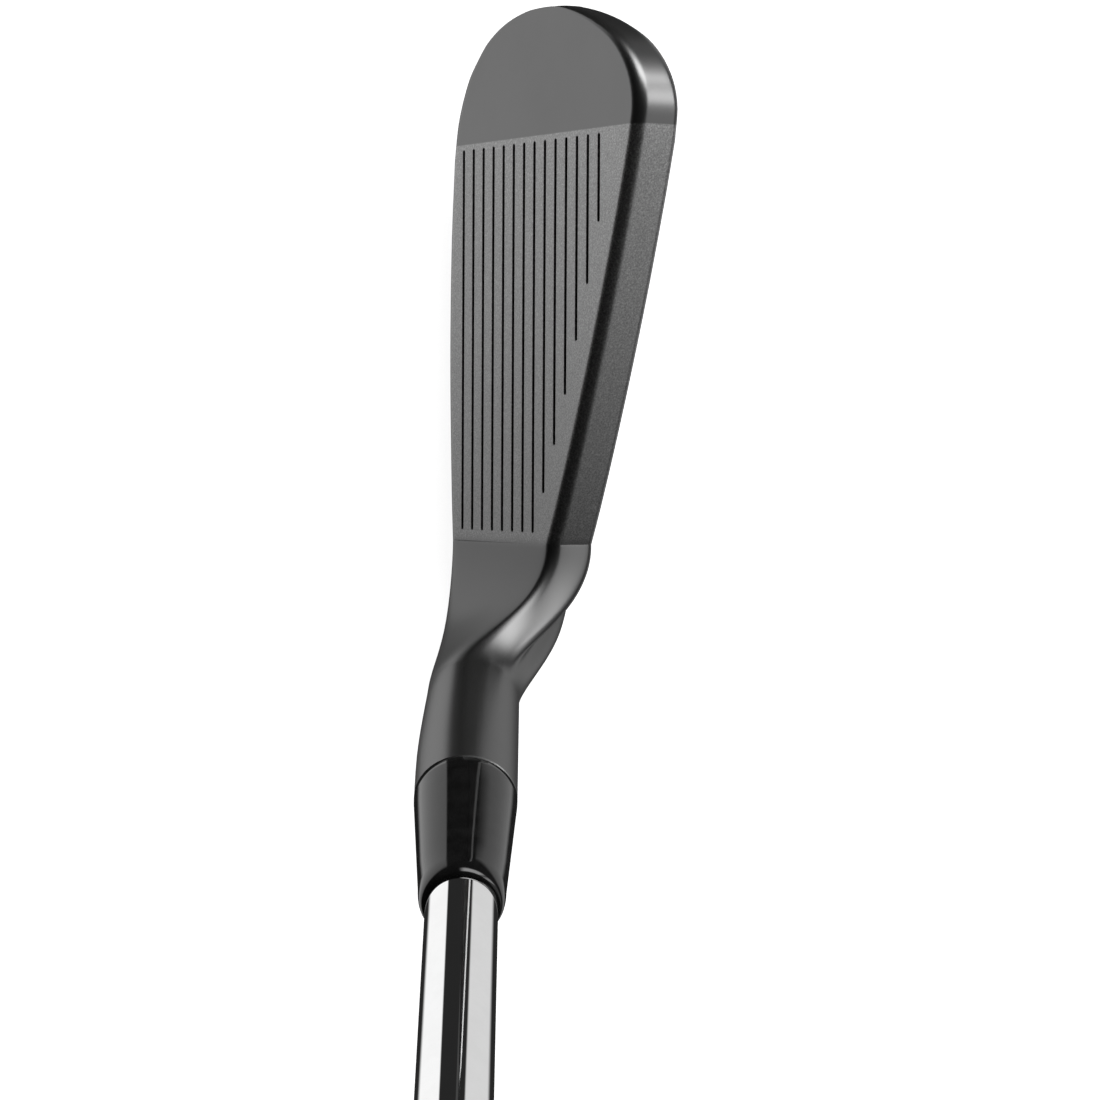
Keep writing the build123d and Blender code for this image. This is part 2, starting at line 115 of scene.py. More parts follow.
# ---- badge recess in the back ----
BADGE_HEEL = -18.0
BADGE_TOE = -59.0
BADGE_TOP_MARGIN = 4.5
BADGE_LOW_MARGIN = 1.2
BADGE_CORNER = 2.0
BADGE_DEPTH = 1.2

# ---- shaft, ferrule and grip ----
CLUB_LENGTH = 939.8
FERRULE_LENGTH = 25.0
SHAFT_AT_FERRULE = 4.70
SHAFT_TIP_SLOPE = 0.0015
SHAFT_BUTT_RADIUS = 7.62
FIRST_STEP = 225.0
STEP_PITCH = 40.0
STEP_COUNT = 12
STEP_LENGTH = 1.5
FERRULE_END_RADIUS = 5.72
GRIP_LENGTH = 267.0
GRIP_MOUTH_RADIUS = 8.7
GRIP_UPPER_RADIUS = 11.7
GRIP_UPPER_FROM_BUTT = 50.0
GRIP_CAP_RADIUS = 13.5
CAP_THICKNESS = 3.5
LATHE_SEGMENTS = 160

# ---- the grip's crossing pattern and the ribs at its mouth ----
GRIP_RINGS = 560
GRIP_SEGMENTS = 144
PATTERN_START = 14.0
PATTERN_STOP = 9.0
PATTERN_FADE = 3.0
PATTERN_RATE = 1.15
PATTERN_STARTS = 12
PATTERN_WIDTH = 0.3
PATTERN_DEPTH = 0.32
RIBS_START = 6.0
RIBS_STOP = 12.0
RIB_PITCH = 2.0
RIB_DEPTH = 0.3

# ---- camera and floor, in metres and degrees ----
CAMERA_PLACE = (-0.01784, 0.01067, 0.56118)
CAMERA_TILTS = (1.776, 0.038, -0.295)
CAMERA_LENS = 123.2
FLOOR_REACH = 12.0
FLOOR_HEIGHT = -0.0006

# ---- studio panels: strength, bearing from the toe's side toward the back (start and full, fading
# and gone, in degrees), height of the direction (the same four) ----
PANELS = [
    (0.95, (-150.0, -120.0, -29.0, -26.0), (-0.91, -0.84, -0.35, -0.15)),
    (0.66, (20.0, 24.0, 120.0, 150.0), (-0.91, -0.84, -0.55, -0.4)),
    (0.04, (4.0, 5.0, 8.0, 9.0), (-0.9, -0.8, -0.5, -0.4)),
    (0.62, (52.0, 75.0, 120.0, 150.0), (-0.15, 0.1, 0.6, 0.75)),
    (5.5, (-8.0, 8.0, 42.0, 58.0), (0.02, 0.2, 0.56, 0.7)),
    (3.4, (52.0, 66.0, 78.0, 88.0), (0.02, 0.2, 0.56, 0.7)),
]

up_face = (math.sin(LOFT), math.cos(LOFT))
into_head = (math.cos(LOFT), -math.sin(LOFT))
along = Vector((math.cos(LIE), 0, math.sin(LIE)))
toward_toe = Vector((-math.sin(LIE), 0, math.cos(LIE)))
rearward = Vector((0, 1, 0))


# ======== head sections ========
def smooth(points, x):
    """The height at x on a smooth curve through the points, as a cubic over each span."""
    pts = sorted(points)
    slopes = []
    for i in range(len(pts)):
        before = pts[max(i - 1, 0)]
        after = pts[min(i + 1, len(pts) - 1)]
        slopes.append((after[1] - before[1]) / (after[0] - before[0]))
    i = 0
    while i < len(pts) - 2 and x > pts[i + 1][0]:
        i += 1
    (x0, y0), (x1, y1) = pts[i], pts[i + 1]
    span = x1 - x0
    t = (x - x0) / span
    return ((2 * t**3 - 3 * t**2 + 1) * y0 + (t**3 - 2 * t**2 + t) * span * slopes[i]
            + (3 * t**2 - 2 * t**3) * y1 + (t**3 - t**2) * span * slopes[i + 1])


def ease(t):
    return t * t * (3 - 2 * t)


def face_point(height, depth=0.0):
    y = -FACE_OFFSET + height * up_face[0] + depth * into_head[0]
    return y, height * up_face[1] + depth * into_head[1]


def arc_points(centre, radius, start, end, count):
    angles = [start + (end - start) * k / count for k in range(count + 1)]
    return [(centre[0] + radius * math.cos(a), centre[1] + radius * math.sin(a)) for a in angles]


def straight_points(start, end, count):
    return [(start[0] + (end[0] - start[0]) * k / count, start[1] + (end[1] - start[1]) * k / count)
            for k in range(count + 1)]


def bow_points(start, start_pull, end, end_pull, count):
    points = []
    for k in range(count + 1):
        t = k / count
        a, b, c, d = 2 * t**3 - 3 * t**2 + 1, t**3 - 2 * t**2 + t, 3 * t**2 - 2 * t**3, t**3 - t**2
        points.append((a * start[0] + b * start_pull[0] + c * end[0] + d * end_pull[0],
                       a * start[1] + b * start_pull[1] + c * end[1] + d * end_pull[1]))
    return points


def blade_edges(x):
    """Heights of the face's low and top edges, the sole's width and the topline's, at a station."""
    if x >= TOE_START:
        low = smooth(FACE_LOW_POINTS, x)
        top = smooth(FACE_TOP_POINTS, x)
        return low, top, SOLE_WIDTH - SOLE_TAPER * max(0.0, x - SOLE_TAPER_START), TOPLINE
    angle = math.degrees(math.asin((TOE_START - x) / TOE_REACH))
    return (smooth(TOE_LOW_POINTS, angle), smooth(TOE_TOP_POINTS, angle),
            smooth(TOE_SOLE_POINTS, angle), smooth(TOE_DEPTH_POINTS, angle))


# Points in each run of a section: leading edge, sole, trailing edge, muscle, flat of the back,
# back top corner, topline, face top corner and face.
COUNTS = [16, 14, 14, 20, 6, 14, 6, 20, 6]
HOSEL_SPLITS = [150, 240, 300, 350, 388, 398, 413, 438, 456, 510]


def blade_section(x):
    low, top, sole, depth = blade_edges(x)
    lead_tangent = low + (1 - math.cos(LOFT)) / math.sin(LOFT) * LEADING_RADIUS
    lead_centre = face_point(lead_tangent, LEADING_RADIUS)
    lead = arc_points(lead_centre, LEADING_RADIUS, math.pi - LOFT, 1.5 * math.pi - BOUNCE, COUNTS[0])
    sole_centre = (lead[-1][0] + SOLE_RADIUS * math.sin(BOUNCE),
                   lead[-1][1] + SOLE_RADIUS * math.cos(BOUNCE))
    sole_rear = lead[-1][0] - LEADING_RADIUS + sole - 1.2 * TRAILING_RADIUS
    rear_angle = math.asin((sole_rear - sole_centre[0]) / SOLE_RADIUS)
    bottom = arc_points(sole_centre, SOLE_RADIUS, 1.5 * math.pi - BOUNCE,
                        1.5 * math.pi + rear_angle, COUNTS[1])
    trail_centre = (bottom[-1][0] - TRAILING_RADIUS * math.sin(rear_angle),
                    bottom[-1][1] + TRAILING_RADIUS * math.cos(rear_angle))
    trail = arc_points(trail_centre, TRAILING_RADIUS, rear_angle - math.pi / 2, -MUSCLE_LEAN, COUNTS[2])
    crest = top + FACE_TOP_RADIUS
    back_centre = face_point(crest - BACK_TOP_RADIUS, depth - BACK_TOP_RADIUS)
    back_corner = arc_points(back_centre, BACK_TOP_RADIUS, -LOFT, math.pi / 2 - LOFT, COUNTS[5])
    flat_end = face_point(crest - BACK_FLAT_SHARE * (crest - low), depth)
    reach = math.dist(trail[-1], flat_end)
    low_pull = (MUSCLE_PULL_LOW * reach * math.sin(MUSCLE_LEAN),
                MUSCLE_PULL_LOW * reach * math.cos(MUSCLE_LEAN))
    high_pull = (MUSCLE_PULL_HIGH * reach * up_face[0], MUSCLE_PULL_HIGH * reach * up_face[1])
    muscle = bow_points(trail[-1], low_pull, flat_end, high_pull, COUNTS[3])
    flat = straight_points(flat_end, back_corner[0], COUNTS[4])
    face_centre = face_point(top, FACE_TOP_RADIUS)
    face_corner = arc_points(face_centre, FACE_TOP_RADIUS, math.pi / 2 - LOFT, math.pi - LOFT, COUNTS[7])
    topline = straight_points(back_corner[-1], face_corner[0], COUNTS[6])
    face = straight_points(face_corner[-1], lead[0], COUNTS[8])
    return [lead, bottom, trail, muscle, flat, back_corner, topline, face_corner, face]


def hosel_section(s):
    """The same runs round the hosel, as (y, height toward the toe side)."""
    left = max(0.0, NECK_FRONT_END - s) / (NECK_FRONT_END - NECK_FRONT_START)
    taper = NECK_FRONT_TAPER * left ** 1.5
    runs = []
    for start, end, count in zip(HOSEL_SPLITS, HOSEL_SPLITS[1:], COUNTS):
        run = arc_points((0, 0), HOSEL_RADIUS, math.radians(start), math.radians(end), count)
        runs.append([(y * (1 - taper / HOSEL_RADIUS) if y < 0 else y, z) for y, z in run])
    return runs


def closed_ring(runs):
    """One closed ring of points from the runs, each run's last point left to the next."""
    return [point for run in runs for point in run[:-1]]


pivot_reach = HOSEL_RADIUS + CROTCH_RADIUS
pivot_x = NECK_END * math.cos(LIE) - pivot_reach * math.sin(LIE)
pivot_z = NECK_END * math.sin(LIE) + pivot_reach * math.cos(LIE)
heel_start_x = HOSEL_RADIUS / math.sin(LIE) - HEEL_RADIUS * math.tan(LIE / 2)


def heel_reach(phi):
    ux, uz = math.cos(phi), math.sin(phi)
    to_ground = -pivot_z / uz
    if pivot_x + to_ground * ux <= heel_start_x:
        return to_ground
    wx, wz = pivot_x - heel_start_x, pivot_z - HEEL_RADIUS
    along_ray = wx * ux + wz * uz
    to_arc = -along_ray + math.sqrt(max(0.0, along_ray**2 - wx**2 - wz**2 + HEEL_RADIUS**2))
    if math.atan2(wz + to_arc * uz, wx + to_arc * ux) <= LIE - math.pi / 2:
        return to_arc
    return (pivot_reach + HOSEL_RADIUS) / math.cos(phi - LIE + math.pi / 2)


def neck_ring(t):
    """Ring of the neck, from the blade (t = 0) to the hosel (t = 1)."""
    blade = closed_ring(blade_section(pivot_x))
    hosel = closed_ring(hosel_section(NECK_END))
    top = max(z for y, z in blade)
    bottom = min(z for y, z in blade)
    phi = -math.pi / 2 + LIE * t
    inner = pivot_z - top + (CROTCH_RADIUS - pivot_z + top) * ease(t)
    outer = heel_reach(phi)
    mix_height = ease(t**NECK_HEIGHT_MIX)
    ring = []
    for (by, bz), (hy, hz) in zip(blade, hosel):
        share = (1 - mix_height) * (top - bz) / (top - bottom)
        share += mix_height * (HOSEL_RADIUS - hz) / (2 * HOSEL_RADIUS)
        rear = (1 + hy / HOSEL_RADIUS) / 2
        top_front = (1 - share) ** 2 * (1 - rear) ** 2
        mix = ease(t ** (NECK_MIX + NECK_MIX_REAR * rear + NECK_MIX_TOP * top_front))
        mix -= NECK_WAVE * rear * math.sin(2 * math.pi * t)
        mix -= NECK_SWELL * rear * math.sin(math.pi * t) ** 2
        radius = inner + share * (outer - inner)
        ring.append((pivot_x + radius * math.cos(phi), (1 - mix) * by + mix * hy,
                     pivot_z + radius * math.sin(phi)))
    return ring


def blade_ring(x):
    return [(x, y, z) for y, z in closed_ring(blade_section(x))]


def hosel_ring(s, shrink=0.0):
    """A ring square to the hosel's axis, its radius smaller by the shrink."""
    scale = 1 - shrink / HOSEL_RADIUS
    ring = []
    for y, h in closed_ring(hosel_section(s)):
        point = along * s + toward_toe * (h * scale) + rearward * (y * scale)
        ring.append(tuple(point))
    return ring


# ======== mesh helpers ========
def new_object(name, mesh, node):
    obj = bpy.data.objects.new(name, mesh)
    bpy.context.scene.collection.objects.link(obj)
    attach(obj, "root")
    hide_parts(node)
    return obj


def mark_sharp(mesh, limit=32.0):
    """Smooth shading, kept crisp across edges sharper than the limit."""
    bm = bmesh.new()
    bm.from_mesh(mesh)
    bmesh.ops.remove_doubles(bm, verts=bm.verts, dist=0.002 * MM)
    bmesh.ops.recalc_face_normals(bm, faces=bm.faces)
    for face in bm.faces:
        face.smooth = True
    for edge in bm.edges:
        if len(edge.link_faces) == 2 and edge.calc_face_angle(0.0) > math.radians(limit):
            edge.smooth = False
    bm.to_mesh(mesh)
    bm.free()


def mesh_from(name, points, faces):
    mesh = bpy.data.meshes.new(name)
    mesh.from_pydata([tuple(c * MM for c in p) for p in points], [], faces)
    mesh.update()
    return mesh


def ring_mesh(name, rings):
    """A skin over rings of equal count, its ends closed by one face each."""
    count = len(rings[0])
    points = [p for ring in rings for p in ring]
    faces = []
    for i in range(len(rings) - 1):
        for j in range(count):
            k = (j + 1) % count
            faces.append((i * count + j, i * count + k, (i + 1) * count + k, (i + 1) * count + j))
    faces.append(tuple(range(count))[::-1])
    faces.append(tuple(range((len(rings) - 1) * count, len(rings) * count)))
    return mesh_from(name, points, faces)


def outward(mesh):
    """The mesh with every face turned to look out of the solid."""
    bm = bmesh.new()
    bm.from_mesh(mesh)
    bmesh.ops.recalc_face_normals(bm, faces=bm.faces)
    bm.to_mesh(mesh)
    bm.free()
    return mesh


def cut(obj, cutter_mesh):
    """Takes a closed mesh out of an object and keeps the result as its mesh."""
    cutter = bpy.data.objects.new("cutter", cutter_mesh)
    bpy.context.scene.collection.objects.link(cutter)
    modifier = obj.modifiers.new("cut", "BOOLEAN")
    modifier.operation = "DIFFERENCE"
    modifier.solver = "EXACT"
    modifier.object = cutter
    graph = bpy.context.evaluated_depsgraph_get()
    result = bpy.data.meshes.new_from_object(obj.evaluated_get(graph))
    obj.modifiers.remove(modifier)
    obj.data = result
    bpy.data.objects.remove(cutter)


def lathe(name, profile, node, sharp):
    """A solid of revolution about the shaft's axis from (distance along it, radius)."""
    rings = []
    for s, r in profile:
        ring = []
        for k in range(LATHE_SEGMENTS):
            angle = 2 * math.pi * k / LATHE_SEGMENTS
            point = along * s + (toward_toe * math.cos(angle) + rearward * math.sin(angle)) * r
            ring.append(tuple(point))
        rings.append(ring)
    mesh = ring_mesh(name, rings)
    mark_sharp(mesh, sharp)
    return new_object(name, mesh, node)


# ======== materials ========
def new_material(name, color, metallic, roughness):
    material = bpy.data.materials.new(name)
    material.use_nodes = True
    shader = material.node_tree.nodes["Principled BSDF"]
    shader.inputs["Base Color"].default_value = (*color, 1)
    shader.inputs["Metallic"].default_value = metallic
    shader.inputs["Roughness"].default_value = roughness
    return material, material.node_tree, shader


def position_node(tree):
    node = tree.nodes.new("ShaderNodeTexCoord")
    return node.outputs["Object"]


def noise_node(tree, vector, scale, detail=3.0, roughness=0.6):
    node = tree.nodes.new("ShaderNodeTexNoise")
    node.inputs["Scale"].default_value = scale
    node.inputs["Detail"].default_value = detail
    node.inputs["Roughness"].default_value = roughness
    tree.links.new(vector, node.inputs["Vector"])
    return node.outputs["Fac"]


def ramp_node(tree, value, stops):
    node = tree.nodes.new("ShaderNodeValToRGB")
    elements = node.color_ramp.elements
    while len(elements) < len(stops):
        elements.new(0.5)
    for element, (place, level) in zip(elements, stops):
        element.position = place
        element.color = (level, level, level, 1)
    tree.links.new(value, node.inputs["Fac"])
    return node.outputs["Color"]


def range_node(tree, value, low, high, out_low=0.0, out_high=1.0, smooth_step=True):
    node = tree.nodes.new("ShaderNodeMapRange")
    node.interpolation_type = "SMOOTHSTEP" if smooth_step else "LINEAR"
    for socket, number in (("From Min", low), ("From Max", high),
                           ("To Min", out_low), ("To Max", out_high)):
        node.inputs[socket].default_value = number
    tree.links.new(value, node.inputs["Value"])
    return node.outputs["Result"]


def math_node(tree, operation, a, b):
    node = tree.nodes.new("ShaderNodeMath")
    node.operation = operation
    for socket, value in zip(node.inputs, (a, b)):
        if isinstance(value, (int, float)):
            socket.default_value = value
        else:
            tree.links.new(value, socket)
    return node.outputs["Value"]


def mix_value(tree, factor, a, b):
    node = tree.nodes.new("ShaderNodeMix")
    tree.links.new(factor, node.inputs["Factor"])
    for socket, value in ((node.inputs["A"], a), (node.inputs["B"], b)):
        if isinstance(value, (int, float)):
            socket.default_value = value
        else:
            tree.links.new(value, socket)
    return node.outputs["Result"]


def bump_node(tree, height, strength, distance):
    node = tree.nodes.new("ShaderNodeBump")
    node.inputs["Strength"].default_value = strength
    node.inputs["Distance"].default_value = distance
    tree.links.new(height, node.inputs["Height"])
    return node.outputs["Normal"]


def head_material():
    """Black coating over steel: satin on the toe, heel and hosel, media-blasted between, with painted shade
    darkening the blast toward the heel and the satin round the heel and crotch.
    """
    material, tree, shader = new_material("head_black", (0.15, 0.15, 0.152), 1.0, 0.34)
    shader.inputs["Specular Tint"].default_value = (0.75, 0.75, 0.75, 1)
    place = position_node(tree)
    axes = tree.nodes.new("ShaderNodeSeparateXYZ")
    tree.links.new(place, axes.inputs["Vector"])
    x = axes.outputs["X"]
    edge = 0.12 * MM
    from_toe = range_node(tree, x, BLAST_TOE * MM - edge, BLAST_TOE * MM + edge)
    from_heel = range_node(tree, x, BLAST_HEEL * MM - 8 * edge, BLAST_HEEL * MM + 8 * edge, 1, 0)
    blasted = math_node(tree, "MULTIPLY", from_toe, from_heel)
    grain = noise_node(tree, place, 4200.0, 2.0, 0.7)
    cloud = noise_node(tree, place, 60.0)
    # painted shade: the blasted tone darkens steadily from the toe toward the heel
    blast_painted_shade = range_node(tree, x, -60 * MM, 0.0, 1.0, 0.55, smooth_step=False)
    # painted shade: the satin finish is darkened round the heel and the crotch between blade and hosel
    crotch_shade_rise = range_node(tree, x, -14 * MM, 0.0)
    crotch_shade_fall = range_node(tree, x, 5 * MM, 20 * MM, 1.0, 0.0)
    crotch_painted_shade = math_node(tree, "MULTIPLY", crotch_shade_rise, crotch_shade_fall)
    plain_painted_shade = math_node(tree, "SUBTRACT", 1.0, math_node(tree, "MULTIPLY", 0.38, crotch_painted_shade))
    grain_tone = ramp_node(tree, grain, [(0.3, 0.25), (0.5, 0.36), (0.72, 0.60)])
    plain_tone = ramp_node(tree, cloud, [(0.3, 0.19), (0.7, 0.20)])
    grain_tone = math_node(tree, "MULTIPLY", grain_tone, blast_painted_shade)
    plain_tone = math_node(tree, "MULTIPLY", plain_tone, plain_painted_shade)
    tone = mix_value(tree, blasted, plain_tone, grain_tone)
    tree.links.new(tone, shader.inputs["Base Color"])
    rough = mix_value(tree, blasted, 0.33, range_node(tree, grain, 0.3, 0.7, 0.34, 0.42))
    tree.links.new(rough, shader.inputs["Roughness"])
    fine = noise_node(tree, place, 900.0, 2.0)
    relief = mix_value(tree, blasted, math_node(tree, "MULTIPLY", fine, 0.05), grain)
    tree.links.new(bump_node(tree, relief, 0.35, 0.03 * MM), shader.inputs["Normal"])
    return material


def speckled_material(name, dark, light, metallic, roughness, scale, strength=0.2):
    """A finish whose tone, roughness and surface vary with a fine noise."""
    material, tree, shader = new_material(name, (1, 1, 1), metallic, roughness[0])
    place = position_node(tree)
    grain = noise_node(tree, place, scale)
    mixer = tree.nodes.new("ShaderNodeMix")
    mixer.data_type = "RGBA"
    mixer.inputs[6].default_value = (*dark, 1)
    mixer.inputs[7].default_value = (*light, 1)
    tree.links.new(range_node(tree, grain, 0.3, 0.7), mixer.inputs["Factor"])
    tree.links.new(mixer.outputs[2], shader.inputs["Base Color"])
    tree.links.new(range_node(tree, grain, 0.3, 0.7, *roughness), shader.inputs["Roughness"])
    tree.links.new(bump_node(tree, grain, strength, 0.05 * MM), shader.inputs["Normal"])
    return material


def dress(obj, material):
    obj.data.materials.clear()
    obj.data.materials.append(material)


head_black = head_material()
# the score lines' black coating darkened to near black: painted shade in the grooves
score_black_painted_shade = speckled_material("score_line_black_painted_shade", (0.008, 0.008, 0.008), (0.02, 0.02, 0.02), 0.6,
                                 (0.45, 0.6), 1500.0)
chrome = speckled_material("chrome_plate", (0.93, 0.93, 0.93), (0.96, 0.96, 0.96), 1.0, (0.025, 0.045),
                           300.0, 0.01)
ferrule_black = speckled_material("ferrule_black", (0.004, 0.004, 0.004), (0.007, 0.007, 0.007), 0.0,
                                  (0.06, 0.1), 500.0, 0.02)
rubber = speckled_material("grip_rubber", (0.012, 0.012, 0.012), (0.03, 0.03, 0.03), 0.0, (0.55, 0.75),
                           2200.0, 0.5)
band_film = speckled_material("band_film", (0.03, 0.03, 0.032), (0.05, 0.05, 0.052), 0.2,
                              (0.2, 0.3), 700.0, 0.05)
badge_metal = speckled_material("badge_metal", (0.10, 0.10, 0.105), (0.16, 0.16, 0.165), 1.0,
                                (0.3, 0.42), 1800.0, 0.2)
screw_steel = speckled_material("screw_steel", (0.09, 0.09, 0.09), (0.14, 0.14, 0.14), 1.0,
                                (0.3, 0.4), 900.0)
hidden_grey = speckled_material("inner_filler", (0.45, 0.43, 0.36), (0.6, 0.58, 0.5), 0.0,
                                (0.6, 0.8), 600.0)
brass = speckled_material("plug_brass", (0.6, 0.42, 0.16), (0.72, 0.54, 0.24), 1.0, (0.25, 0.4), 700.0)
tungsten = speckled_material("tungsten", (0.24, 0.23, 0.22), (0.34, 0.33, 0.32), 1.0, (0.4, 0.55), 1200.0)

# ======== head ========
toe_angles = [TOE_END_ANGLE - TOE_END_ANGLE * k / TOE_RINGS for k in range(TOE_RINGS + 1)]
toe_stations = [TOE_START - TOE_REACH * math.sin(math.radians(a)) for a in toe_angles]
body_stations = [TOE_START + (pivot_x - TOE_START) * k / BODY_RINGS for k in range(1, BODY_RINGS + 1)]
blade_stations = toe_stations + body_stations


def dome_rings(ring, height, count):
    """Rings that close the toe with a shallow dome, the smallest and farthest out first."""
    centre = [sum(p[k] for p in ring) / len(ring) for k in range(3)]
    rings = []
    for i in range(count, 0, -1):
        angle = math.pi / 2 * i / (count + 0.6)
        scale = math.cos(angle) ** 0.55
        rise = height * math.sin(angle)
        rings.append([(p[0] - rise, centre[1] + (p[1] - centre[1]) * scale,
                       centre[2] + (p[2] - centre[2]) * scale) for p in ring])
    return rings


def pocket_ring(x):
    """A blade ring whose face is sunk by the insert's thickness, with walls at its border."""
    ring = blade_ring(x)
    first = sum(COUNTS[:-1])
    sink = (0, FACE_THICKNESS * into_head[0], FACE_THICKNESS * into_head[1])
    start = Vector(ring[first])
    end = Vector(ring[0])
    floor = [start + Vector(sink), end + Vector(sink)]
    inner = [floor[0] + (floor[1] - floor[0]) * (k / 4) for k in range(5)]
    return ring[:first + 1] + [tuple(p) for p in inner]


def relaxed(rings, rounds):
    """The rings with their inner ones eased toward their neighbours, most in the middle."""
    count = len(rings[0])
    last = len(rings) - 1
    for _ in range(rounds):
        eased = [rings[0]]
        for i in range(1, last):
            share = 0.5 * math.sin(math.pi * i / last) ** 0.5
            ring = []
            for j in range(count):
                near = [rings[i - 1][j], rings[i + 1][j], rings[i][j - 1], rings[i][(j + 1) % count]]
                ring.append(tuple(rings[i][j][k] + share * (sum(p[k] for p in near) / 4 - rings[i][j][k])
                                  for k in range(3)))
            eased.append(ring)
        eased.append(rings[last])
        rings = eased
    return rings


def head_rings():
    end = pocket_ring(blade_stations[0])
    rings = dome_rings(end, TOE_DOME, DOME_RINGS)
    rings.append(end)
    rings += [pocket_ring(x) for x in blade_stations[1:]]
    rings += relaxed([neck_ring(k / NECK_RINGS) for k in range(NECK_RINGS + 1)], NECK_EASING)
    for k in range(1, HOSEL_RINGS + 1):
        rings.append(hosel_ring(NECK_END + (HOSEL_TOP - HOSEL_CHAMFER - NECK_END) * k / HOSEL_RINGS))
    rings.append(hosel_ring(HOSEL_TOP, HOSEL_CHAMFER))
    return rings


head_mesh = ring_mesh("head", head_rings())
mark_sharp(head_mesh)
head = new_object("head", head_mesh, "head_body")
dress(head, head_black)

# ---- recesses in the back for the badge and the filling port ----
def prism(name, outline, start, end, step):
    """A closed prism: the outline at each of two depths along a direction."""
    rings = [[tuple(Vector(p) + Vector(step) * d) for p in outline] for d in (start, end)]
    return outward(ring_mesh(name, rings))


def rounded(corners, radius, count=6):
    """A polygon's corners rounded off, as (x, v) points."""
    points = []
    for i, corner in enumerate(corners):
        here = Vector((*corner, 0))
        before = (Vector((*corners[i - 1], 0)) - here).normalized()
        after = (Vector((*corners[(i + 1) % len(corners)], 0)) - here).normalized()
        half = before.angle(after) / 2
        centre = here + (before + after).normalized() * (radius / math.sin(half))
        start = here + before * (radius / math.tan(half))
        end = here + after * (radius / math.tan(half))
        for k in range(count + 1):
            middle = start.lerp(end, k / count) - centre
            points.append(tuple(centre + middle.normalized() * radius)[:2])
    return points


def badge_corners():
    """Corners of the recess on the flat of the back, as (x, height up the face)."""
    corners = []
    for x, upper in ((BADGE_HEEL, True), (BADGE_HEEL, False), (BADGE_TOE, False), (BADGE_TOE, True)):
        low, top = blade_edges(x)[:2]
        crest = top + FACE_TOP_RADIUS
        if upper:
            corners.append((x, crest - BADGE_TOP_MARGIN))
        else:
            corners.append((x, crest - BACK_FLAT_SHARE * (crest - low) + BADGE_LOW_MARGIN))
    return corners


badge_outline = [(x, *face_point(v, 0.0)) for x, v in rounded(badge_corners(), BADGE_CORNER)]
cut(head, prism("badge_pocket", badge_outline, TOPLINE - BADGE_DEPTH, TOPLINE + 3.0, (0, *into_head)))
port_angles = [2 * math.pi * k / 48 for k in range(48)]
port_outline = [(PORT_X + (PORT_RADIUS + PORT_PLAY) * math.cos(a), 0.0,
                 PORT_Z + (PORT_RADIUS + PORT_PLAY) * math.sin(a)) for a in port_angles]
cut(head, prism("port_recess", port_outline, PORT_FLOOR, PORT_FLOOR + 12.0, (0, 1, 0)))
mark_sharp(head.data)

# ---- face insert with its score lines ----
def score_outline(heel, toe, half_width, v, count=8):
    """A bar with round ends, in face coordinates."""
    points = []
    for k in range(count + 1):
        angle = -math.pi / 2 + math.pi * k / count
        points.append((heel - half_width + half_width * math.cos(angle), v + half_width * math.sin(angle)))
    for k in range(count + 1):
        angle = math.pi / 2 + math.pi * k / count
        points.append((toe + half_width + half_width * math.cos(angle), v + half_width * math.sin(angle)))
    return points


def score_cutters():
    """All score lines as one closed mesh: steep walls with a narrow bevelled lip."""
    points = []
    faces = []
    half = SCORE_WIDTH / 2
    levels = [(half, -0.3), (half, 0.0), (half - SCORE_LIP, SCORE_LIP), (half * 0.6, SCORE_DEPTH)]
    for index in range(SCORE_COUNT):
        v = SCORE_LOWEST + SCORE_PITCH * index
        heel = SCORE_HEEL
        while blade_edges(heel)[1] - v < SCORE_TOP_GAP:
            heel -= 0.1
        base = len(points)
        for half_width, depth in levels:
            grow = half_width - half
            for x, height in score_outline(heel + grow, SCORE_TOE - grow, half_width, v):
                y, z = face_point(height, depth)
                points.append((x, y, z))
        count = len(score_outline(0, -1, 0.1, 0))
        for level in range(len(levels) - 1):
            for j in range(count):
                k = (j + 1) % count
                faces.append((base + level * count + j, base + level * count + k,
                              base + (level + 1) * count + k, base + (level + 1) * count + j))
        faces.append(tuple(range(base, base + count))[::-1])
        last = base + (len(levels) - 1) * count
        faces.append(tuple(range(last, last + count)))
    return outward(mesh_from("score_cutters", points, faces))


def face_mesh():
    """The plate that fills the pocket, flush with the head all round."""
    first = sum(COUNTS[:-1])
    stations = [pocket_ring(x) for x in blade_stations]
    toe_end = stations[0]
    outline = [ring[first] for ring in stations] + [ring[0] for ring in reversed(stations)]
    middle = [(a + b) / 2 for a, b in zip(toe_end[first], toe_end[0])]
    for k in range(1, 8):
        angle = math.pi * k / 8
        reach = (Vector(toe_end[first]) - Vector(middle)) * -math.cos(angle)
        tip = Vector(middle) + reach + Vector((-TOE_DOME * math.sin(angle), 0, 0))
        outline.append(tuple(tip))
    back = [(x, y + FACE_THICKNESS * into_head[0], z + FACE_THICKNESS * into_head[1]) for x, y, z in outline]
    return outward(ring_mesh("face", [outline, back]))


face = new_object("face", face_mesh(), "face_insert")
cut(face, score_cutters())
dress(face, head_black)
face.data.materials.append(score_black_painted_shade)
face_normal = Vector((0, -into_head[0], -into_head[1]))
face_level = face_normal.dot(Vector((0, -FACE_OFFSET * MM, 0)))
for polygon in face.data.polygons:
    polygon.use_smooth = False
    below = face_level - face_normal.dot(polygon.center)
    # score line walls and floors take the near-black painted shade
    if 1.2 * SCORE_LIP * MM < below < 2 * SCORE_DEPTH * MM:
        polygon.material_index = 1

